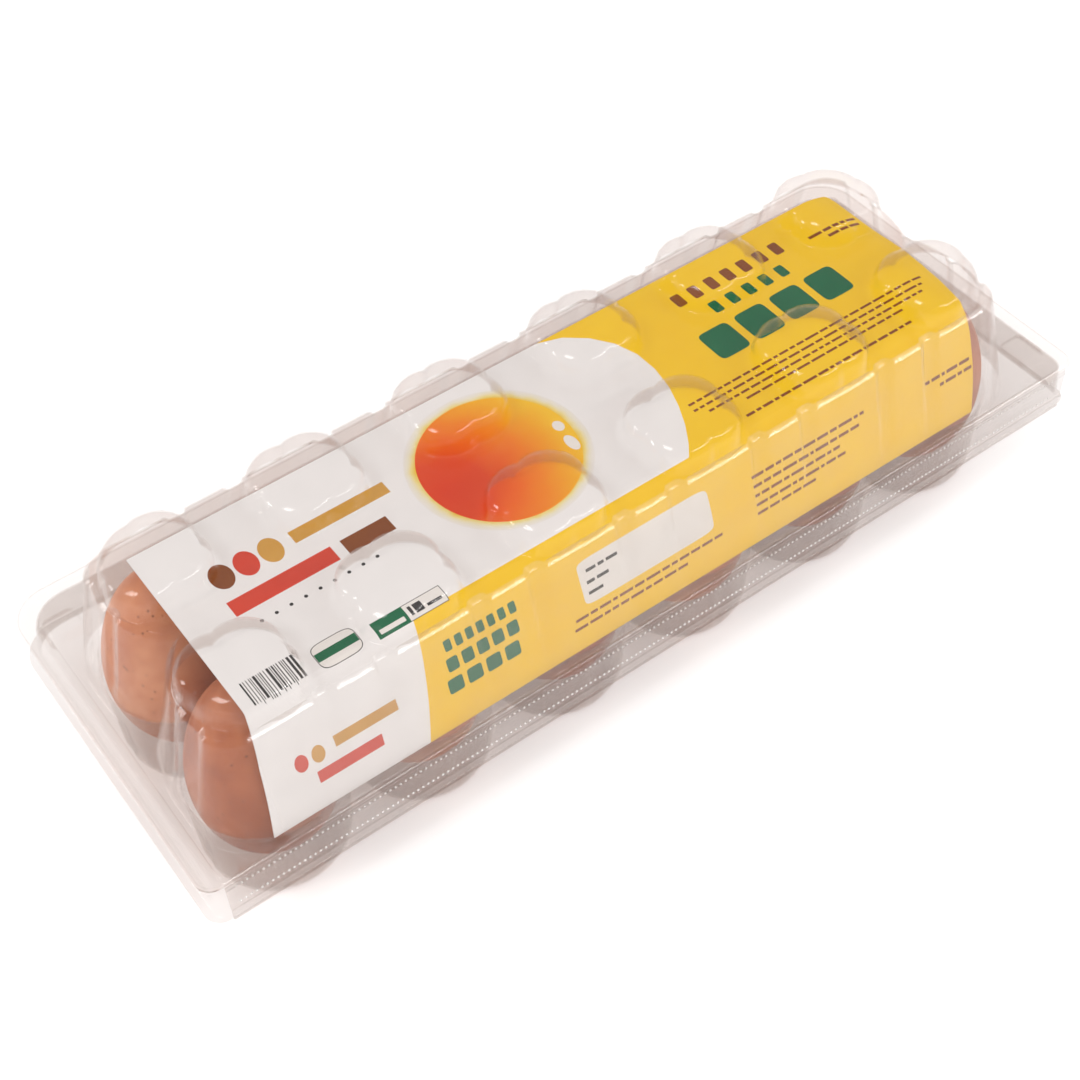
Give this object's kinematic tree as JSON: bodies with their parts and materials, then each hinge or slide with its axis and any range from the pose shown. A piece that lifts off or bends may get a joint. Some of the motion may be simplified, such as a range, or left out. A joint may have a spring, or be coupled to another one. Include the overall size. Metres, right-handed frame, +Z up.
{
  "type": "egg carton with eggs",
  "caption": "Clear hinged two-row egg carton, closed over brown eggs, with a printed sheet folded down the front under the lid.",
  "frame": {"origin": "bottom centre of the outline, on the plane the cups stand on", "axes": "+X along the length towards the wide end flange, +Y from the hinge to the opening lip, +Z up"},
  "size_m": [0.313, 0.1178, 0.08],
  "materials": {
    "clear_sheet": "clear thermoformed sheet, glossy",
    "printed_paper": "coated paper, white with yellow print",
    "egg_brown_light": "matt eggshell with fine pores",
    "egg_brown": "matt eggshell with fine pores",
    "egg_brown_dark": "matt eggshell with fine pores"
  },
  "bodies": {
    "tray": {"tray": "clear_sheet", "label": "printed_paper", "egg_front_1": "egg_brown", "egg_front_2": "egg_brown_light", "egg_front_3": "egg_brown_dark", "egg_front_4": "egg_brown_light", "egg_front_5": "egg_brown", "egg_front_6": "egg_brown", "egg_rear_1": "egg_brown_light", "egg_rear_2": "egg_brown", "egg_rear_3": "egg_brown_light", "egg_rear_4": "egg_brown_dark", "egg_rear_5": "egg_brown", "egg_rear_6": "egg_brown_light"},
    "lid": {"lid": "clear_sheet"}
  },
  "joints": [
    {"name": "lid_hinge", "type": "hinge", "parent": "tray", "child": "lid", "pos_m": [0, -0.05845, 0.0337], "axis": [1, 0, 0], "range_deg": [0, 145]}
  ]
}
